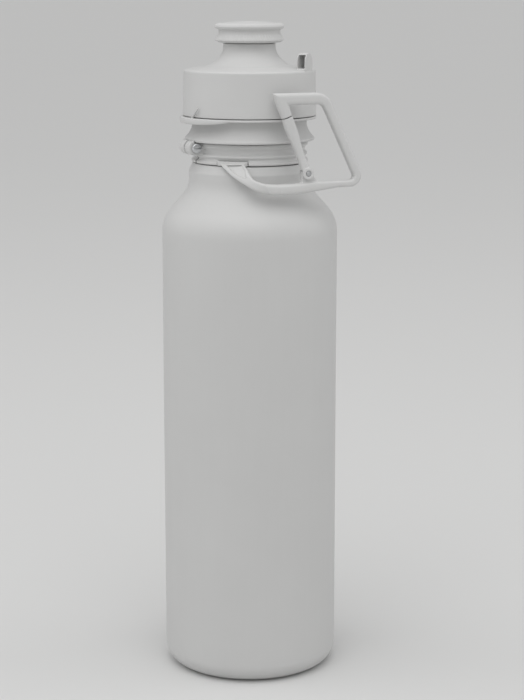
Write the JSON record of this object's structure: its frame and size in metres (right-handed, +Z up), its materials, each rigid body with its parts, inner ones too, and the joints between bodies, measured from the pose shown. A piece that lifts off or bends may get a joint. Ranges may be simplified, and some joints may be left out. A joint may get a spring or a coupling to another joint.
{
  "type": "sports squeeze bottle",
  "caption": "Squeeze bottle with a screw cap, a pull nozzle on a flared spout, and a swivelling neck collar with a gated clip handle.",
  "frame": {"origin": "centre of the flat base that the bottle stands on", "axes": "+Z up along the bottle's axis; -Y is the front; the clip handle's plane faces 20 degrees from -Y towards +X"},
  "size_m": [0.0818, 0.073, 0.2736],
  "materials": {
    "squeeze_plastic": "soft satin",
    "hard_plastic": "fine satin",
    "collar_plastic": "fine satin",
    "grip_rubber": "matte",
    "seal_rubber": "matte",
    "steel": "satin"
  },
  "bodies": {
    "bottle": {"bottle_body": "squeeze_plastic"},
    "gasket": {"cap_gasket": "seal_rubber"},
    "cap": {"cap_shell": "hard_plastic", "spout_pin": "hard_plastic"},
    "nozzle": {"nozzle_core": "hard_plastic", "nozzle_grip": "grip_rubber"},
    "ring": {"tab_ring": "hard_plastic"},
    "collar": {"collar_band": "collar_plastic", "clip_frame": "collar_plastic", "collar_screw": "steel", "collar_nut": "steel", "gate_pin": "steel"},
    "gate": {"clip_gate": "collar_plastic", "gate_spring": "steel"}
  },
  "joints": [
    {"name": "cap_lift", "type": "slide", "parent": "bottle", "child": "gasket", "axis": [0, 0, 1], "range_m": [0, 0.018]},
    {"name": "cap_turn", "type": "hinge", "parent": "gasket", "child": "cap", "pos_m": [0, 0, 0.2355], "axis": [0, 0, 1], "range_deg": [0, 1620]},
    {"name": "nozzle_pull", "type": "slide", "parent": "cap", "child": "nozzle", "axis": [0, 0, 1], "range_m": [0, 0.004]},
    {"name": "ring_spin", "type": "hinge", "parent": "bottle", "child": "ring", "pos_m": [0, 0, 0.2341], "axis": [0, 0, 1], "continuous": true},
    {"name": "collar_swivel", "type": "hinge", "parent": "bottle", "child": "collar", "pos_m": [0, 0, 0.2164], "axis": [0, 0, 1], "continuous": true},
    {"name": "gate_swing", "type": "hinge", "parent": "collar", "child": "gate", "pos_m": [0.02315, -0.02589, 0.2139], "axis": [-0.342, 0.9397, 0], "range_deg": [0, 27], "stiffness_Nm_per_rad": 0.01, "springref_deg": -20.05}
  ],
  "couplings": [
    {"joint": "cap_lift", "follows": "cap_turn", "m_per_rad": 0.00063661}
  ]
}
